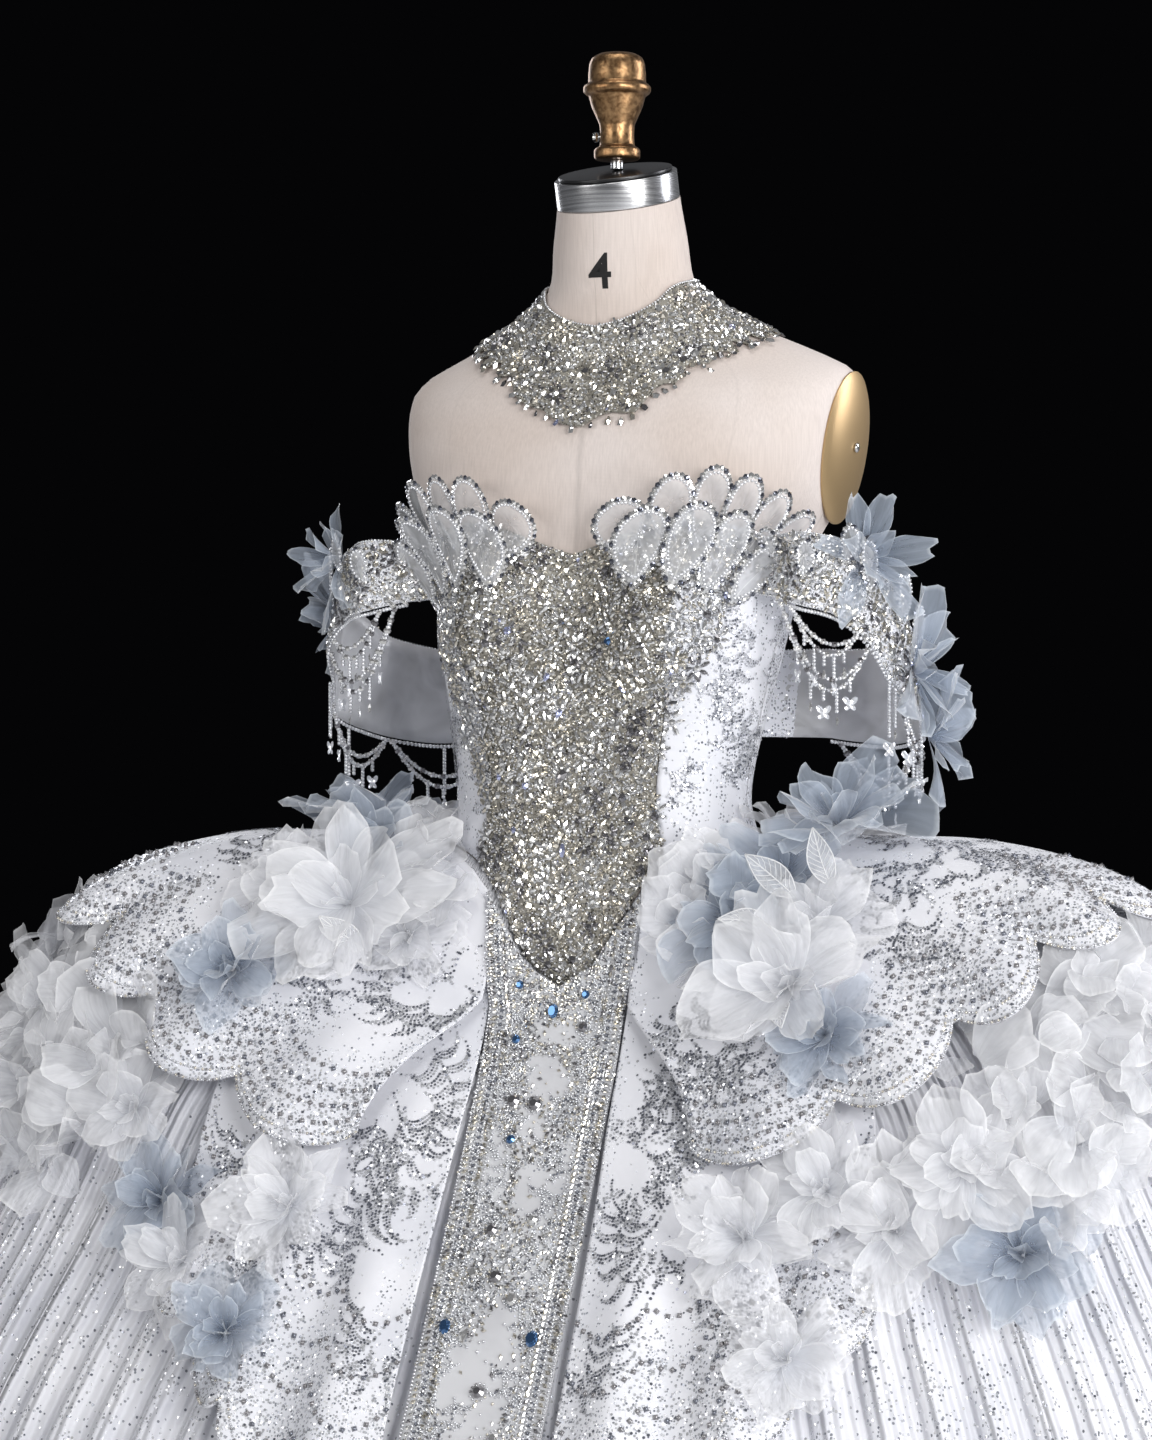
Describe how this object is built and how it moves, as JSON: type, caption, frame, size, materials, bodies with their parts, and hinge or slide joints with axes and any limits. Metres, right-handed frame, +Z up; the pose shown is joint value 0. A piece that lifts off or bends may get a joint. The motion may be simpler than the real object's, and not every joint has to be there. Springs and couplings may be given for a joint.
{
  "type": "wedding dress on a dress form",
  "caption": "Off-the-shoulder ball gown with a beaded corset bodice, tiered lace skirt and drop sleeves, worn by a limbless dress form on a round stand.",
  "frame": {"origin": "on the floor, in the middle of the stand base's underside", "axes": "+Z up along the stand's pole; -Y is the way the gown faces; +X is the form's own left"},
  "size_m": [1.8, 1.205, 1.7055],
  "materials": {
    "linen": "matt woven linen over the form",
    "brushed_steel": "brushed",
    "black_lacquer": "satin black paint",
    "antique_bronze": "hammered antique bronze",
    "satin_brass": "satin",
    "beaded_tulle": "tulle closely covered with clear and champagne stones",
    "glitter_lace": "white lace with silver glitter embroidery",
    "wired_organza": "stiff sheer organza with a beaded wire edge",
    "glass_beads": "silver-lined glass beads on thread",
    "pleated_tulle": "fine pleated tulle with glitter",
    "white_organza": "crisp sheer organza, white",
    "blue_organza": "crisp sheer organza, grey-blue"
  },
  "bodies": {
    "root": {"arm_plate_left": "satin_brass", "arm_plate_right": "satin_brass", "arm_screw_left": "brushed_steel", "arm_screw_right": "brushed_steel", "bead_fringe_left": "glass_beads", "bead_fringe_right": "glass_beads", "bodice_back_left": "glitter_lace", "bodice_back_right": "glitter_lace", "bodice_front": "beaded_tulle", "bodice_placket": "glitter_lace", "bodice_side_back_left": "glitter_lace", "bodice_side_back_right": "glitter_lace", "bodice_side_front_left": "glitter_lace", "bodice_side_front_right": "glitter_lace", "centre_panel": "beaded_tulle", "collar": "beaded_tulle", "finial": "antique_bronze", "finial_screw": "brushed_steel", "finial_stem": "brushed_steel", "flower_back_left": "white_organza", "flower_back_right": "blue_organza", "flower_fold_left": "white_organza", "flower_fold_right": "white_organza", "flower_front_left": "white_organza", "flower_hip_right": "blue_organza", "flower_skirt_back_left": "blue_organza", "flower_skirt_back_right": "white_organza", "flower_skirt_left_low": "white_organza", "flower_skirt_right_low": "blue_organza", "flower_skirt_side_left": "white_organza", "flower_skirt_side_right": "blue_organza", "flower_waist_left": "blue_organza", "flower_waist_left_side": "blue_organza", "flower_waist_right": "white_organza", "flower_waist_right_side": "blue_organza", "form_torso": "linen", "hip_ruffle_left": "white_organza", "hip_ruffle_right": "white_organza", "long_tier_left": "glitter_lace", "long_tier_right": "glitter_lace", "neck_band": "brushed_steel", "neck_disc": "black_lacquer", "petal_frill_lower_left": "wired_organza", "petal_frill_lower_right": "wired_organza", "petal_frill_upper_left": "wired_organza", "petal_frill_upper_right": "wired_organza", "skirt_back": "pleated_tulle", "skirt_front": "pleated_tulle", "skirt_left": "pleated_tulle", "skirt_right": "pleated_tulle", "sleeve_left": "beaded_tulle", "sleeve_right": "beaded_tulle", "stand_base": "black_lacquer", "stand_pole": "black_lacquer", "upper_tier_left": "glitter_lace", "upper_tier_right": "glitter_lace"}
  },
  "joints": []
}
